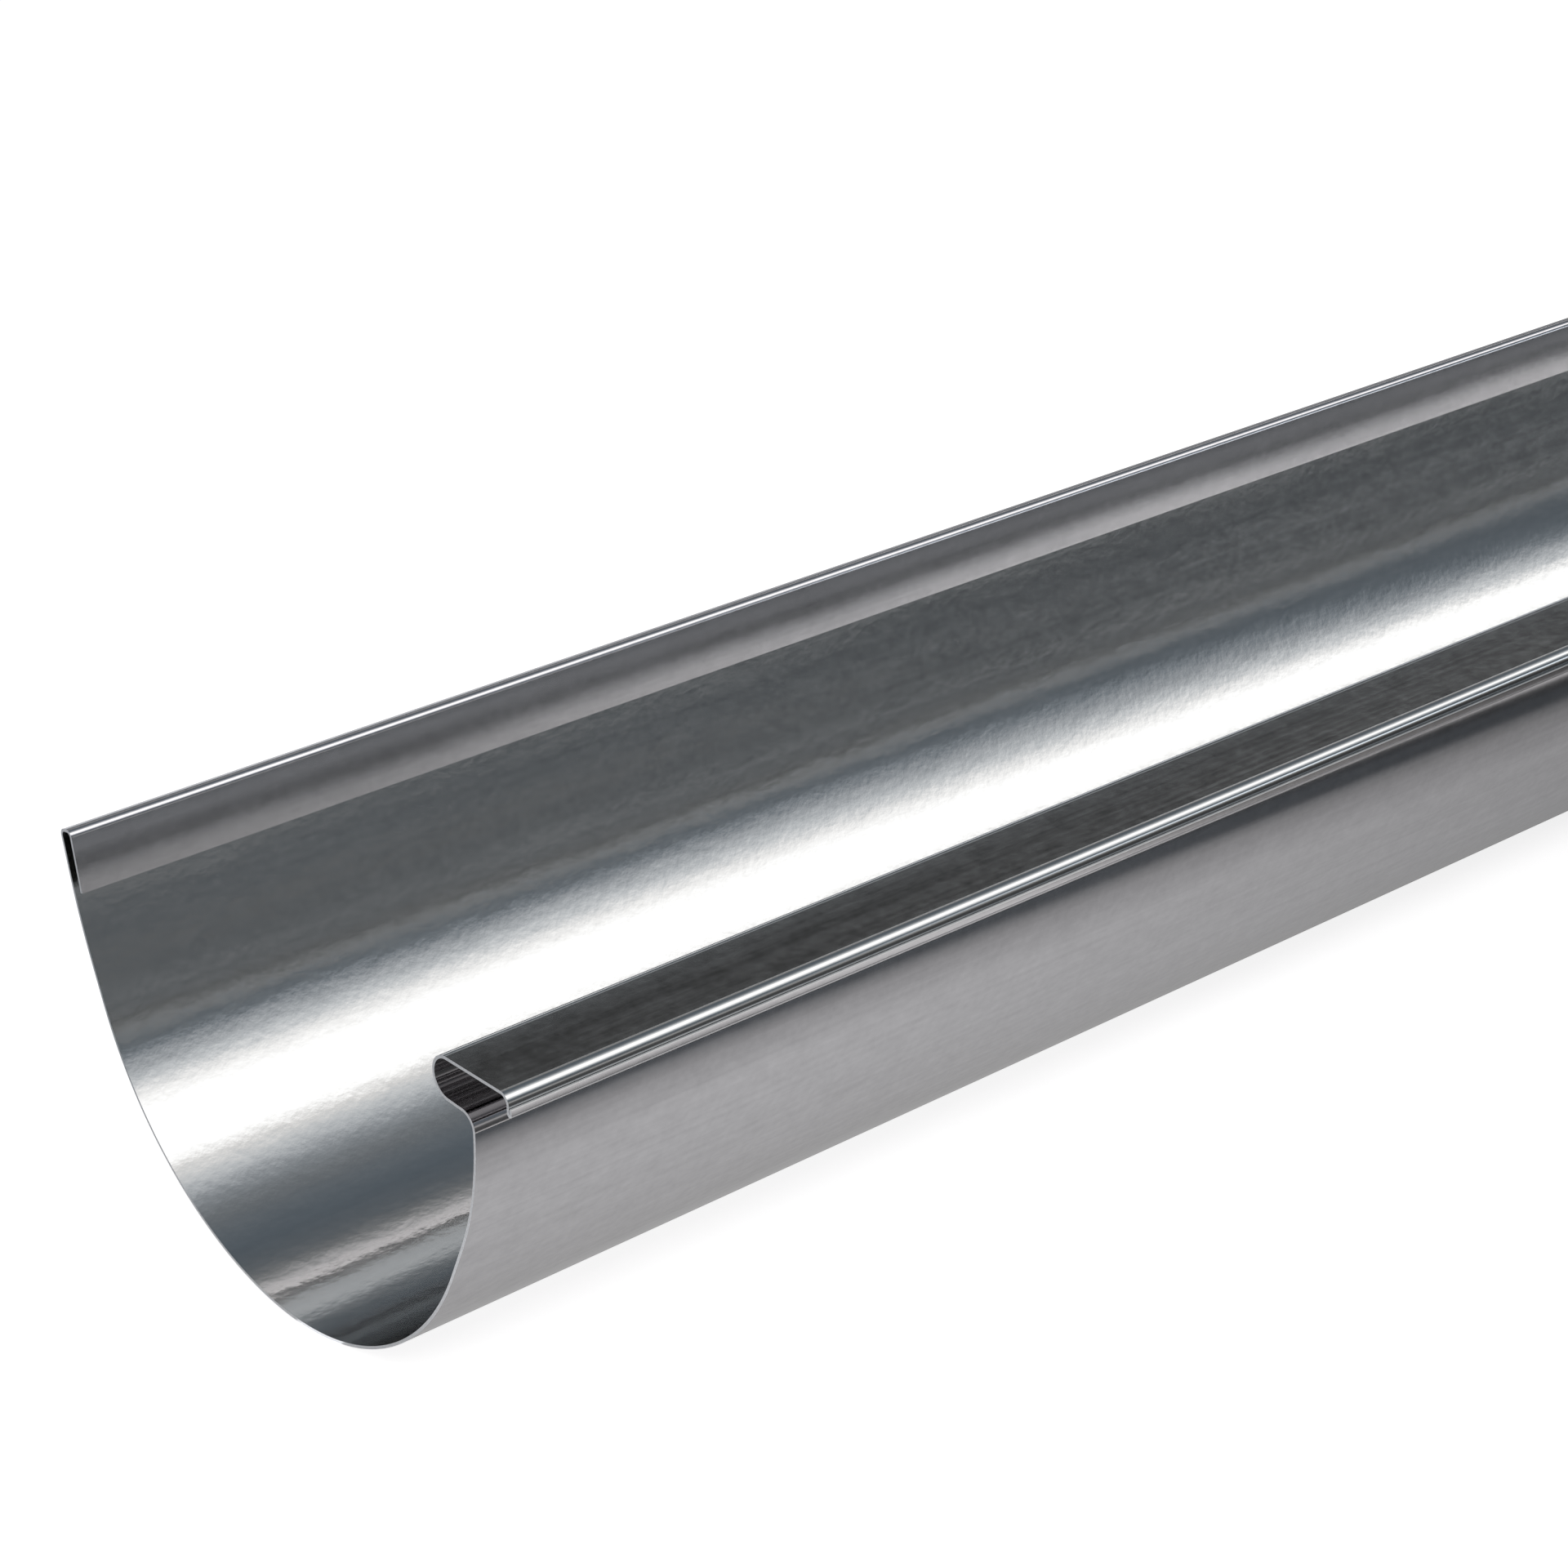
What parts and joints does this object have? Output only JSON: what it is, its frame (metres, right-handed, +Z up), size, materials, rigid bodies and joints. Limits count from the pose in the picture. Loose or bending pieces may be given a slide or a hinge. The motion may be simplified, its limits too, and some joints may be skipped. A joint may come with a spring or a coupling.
{
  "type": "half-round roof gutter length",
  "caption": "Half-round metal gutter length, rolled from one strip, with an open rolled bead along the front and a folded hem along the back.",
  "frame": {"origin": "on the floor under the axis of the half-round trough, at mid-length", "axes": "+X along the gutter, -Y to the front edge with the bead, +Y to the back edge with the hem, +Z up"},
  "size_m": [2, 0.1436, 0.0885],
  "materials": {
    "coated_steel": "bright satin zinc-magnesium coated sheet, fine rolling streaks along its length"
  },
  "bodies": {
    "root": {"gutter": "coated_steel"}
  },
  "joints": []
}
